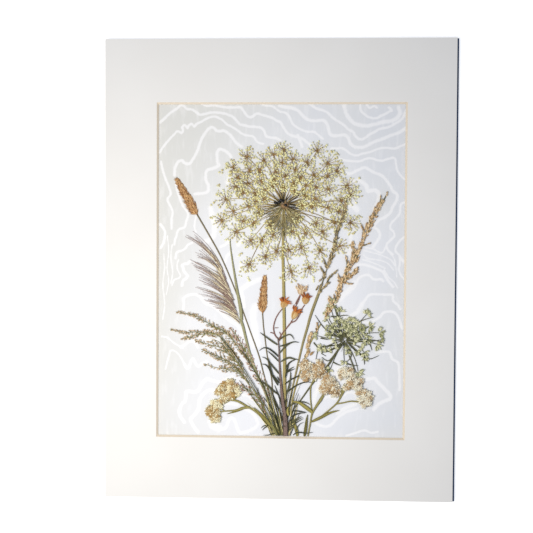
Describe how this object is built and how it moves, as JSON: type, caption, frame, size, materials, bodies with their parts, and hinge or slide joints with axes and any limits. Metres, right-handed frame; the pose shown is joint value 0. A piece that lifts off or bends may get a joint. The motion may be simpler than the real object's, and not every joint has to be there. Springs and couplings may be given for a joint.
{
  "type": "pressed flower picture",
  "caption": "Dried wild flowers and grasses pressed flat on marbled paper, behind a white bevelled window mat, on a thin backing board.",
  "frame": {"origin": "centre of the back face of the backing board and mat together, on the surface the picture lies on", "axes": "+X to the right of the picture, +Y to its top, +Z out of its face towards the viewer"},
  "size_m": [0.308, 0.4034, 0.0078],
  "materials": {
    "board": "matte",
    "marbled_paper": "matte",
    "mat_board": "matte",
    "straw_stem": "matte",
    "grass_stem": "matte",
    "carrot_floret": "matte",
    "canary_bristle": "matte",
    "barley_awn": "matte",
    "green_spikelet": "matte",
    "pink_spikelet": "matte",
    "cream_petal": "matte",
    "olive_leaf": "matte",
    "dark_leaf": "matte",
    "grey_stem": "matte",
    "red_stalk": "matte",
    "orange_petal": "matte",
    "green_seed": "matte",
    "rust_seed": "matte",
    "green_umbel": "matte",
    "dark_stem": "matte"
  },
  "bodies": {
    "root": {"backing_board": "board", "canary_grass_short_head": "canary_bristle", "canary_grass_short_stem": "grass_stem", "canary_grass_tall_head": "canary_bristle", "canary_grass_tall_stem": "grass_stem", "foxtail_barley_blade": "grass_stem", "foxtail_barley_plume": "barley_awn", "foxtail_barley_stem": "grass_stem", "green_dock_spike": "green_seed", "green_dock_stem": "grass_stem", "leafy_stem": "grey_stem", "leafy_stem_left_leaves_1": "dark_leaf", "leafy_stem_left_leaves_2": "dark_leaf", "leafy_stem_left_leaves_3": "dark_leaf", "leafy_stem_left_leaves_4": "dark_leaf", "leafy_stem_right_leaves_1": "dark_leaf", "leafy_stem_right_leaves_2": "dark_leaf", "leafy_stem_right_leaves_3": "dark_leaf", "leafy_stem_right_leaves_4": "dark_leaf", "leafy_stem_right_leaves_5": "dark_leaf", "leafy_stem_right_leaves_6": "dark_leaf", "left_everlasting_branch": "straw_stem", "left_everlasting_broad_leaf": "olive_leaf", "left_everlasting_lower_cluster": "cream_petal", "left_everlasting_narrow_leaf": "olive_leaf", "left_everlasting_stem": "straw_stem", "left_everlasting_upper_cluster": "cream_petal", "marbled_sheet": "marbled_paper", "orange_flower_head_a": "orange_petal", "orange_flower_head_b": "orange_petal", "orange_flower_head_c": "orange_petal", "orange_flower_head_d": "orange_petal", "orange_flower_stalk_a": "red_stalk", "orange_flower_stalk_b": "red_stalk", "orange_flower_stalk_c": "red_stalk", "orange_flower_stalk_d": "red_stalk", "panicle_grass_spray_1": "green_spikelet", "panicle_grass_spray_2": "green_spikelet", "panicle_grass_spray_3": "green_spikelet", "panicle_grass_spray_4": "green_spikelet", "panicle_grass_spray_5": "green_spikelet", "panicle_grass_spray_6": "green_spikelet", "panicle_grass_spray_7": "pink_spikelet", "right_everlasting_cluster_a": "cream_petal", "right_everlasting_cluster_b": "cream_petal", "right_everlasting_cluster_c": "cream_petal", "right_everlasting_cluster_d": "cream_petal", "right_everlasting_cluster_e": "cream_petal", "right_everlasting_cluster_f": "cream_petal", "right_everlasting_leaf": "olive_leaf", "right_everlasting_left_branch": "straw_stem", "right_everlasting_right_branch": "straw_stem", "right_everlasting_stem": "straw_stem", "rust_dock_spike": "rust_seed", "rust_dock_stem": "grass_stem", "wild_carrot_stem": "straw_stem", "wild_carrot_umbel": "carrot_floret", "window_mat": "mat_board", "young_umbel": "green_umbel", "young_umbel_stem": "dark_stem"}
  },
  "joints": []
}
